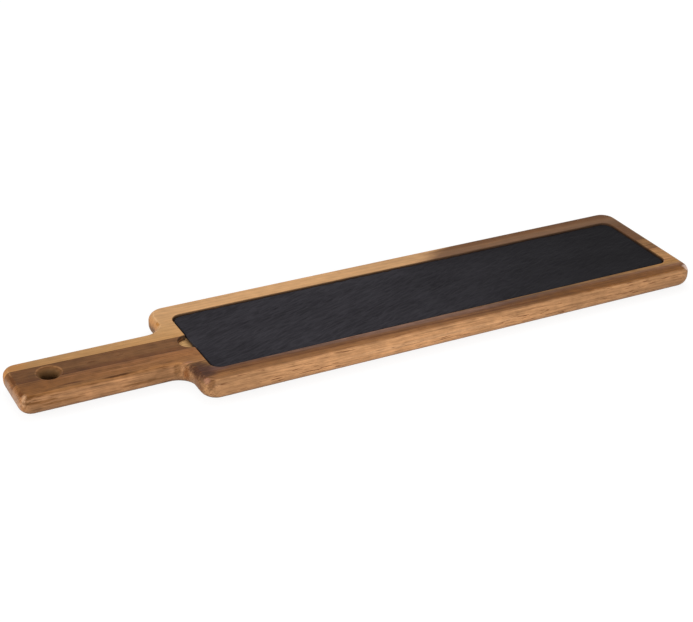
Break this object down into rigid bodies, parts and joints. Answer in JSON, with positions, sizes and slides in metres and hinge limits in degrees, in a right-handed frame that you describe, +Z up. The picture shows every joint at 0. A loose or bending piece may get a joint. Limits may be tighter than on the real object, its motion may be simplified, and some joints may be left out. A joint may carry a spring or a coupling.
{
  "type": "slate serving board",
  "caption": "Paddle-shaped serving board of edge-glued wooden staves, with a lift-out slate slab in its blade, a finger notch and a hanging hole.",
  "frame": {"origin": "middle of the board's length and width, on the flat underside", "axes": "+X along the board towards its far end, with the handle towards -X; +Y across it; +Z up"},
  "size_m": [0.6, 0.13, 0.018],
  "materials": {
    "light_wood": "oiled, sapwood and heartwood",
    "dark_wood": "oiled heartwood",
    "orange_wood": "oiled heartwood",
    "tan_wood": "oiled, straight grain",
    "slate": "riven, matt"
  },
  "bodies": {
    "board": {"far_stave": "light_wood", "dark_stave": "dark_wood", "middle_stave": "orange_wood", "near_stave": "tan_wood"},
    "slate": {"slate_slab": "slate"}
  },
  "joints": [
    {"name": "slate_lift", "type": "slide", "parent": "board", "child": "slate", "axis": [0, 0, 1], "range_m": [0, 0.03]}
  ]
}
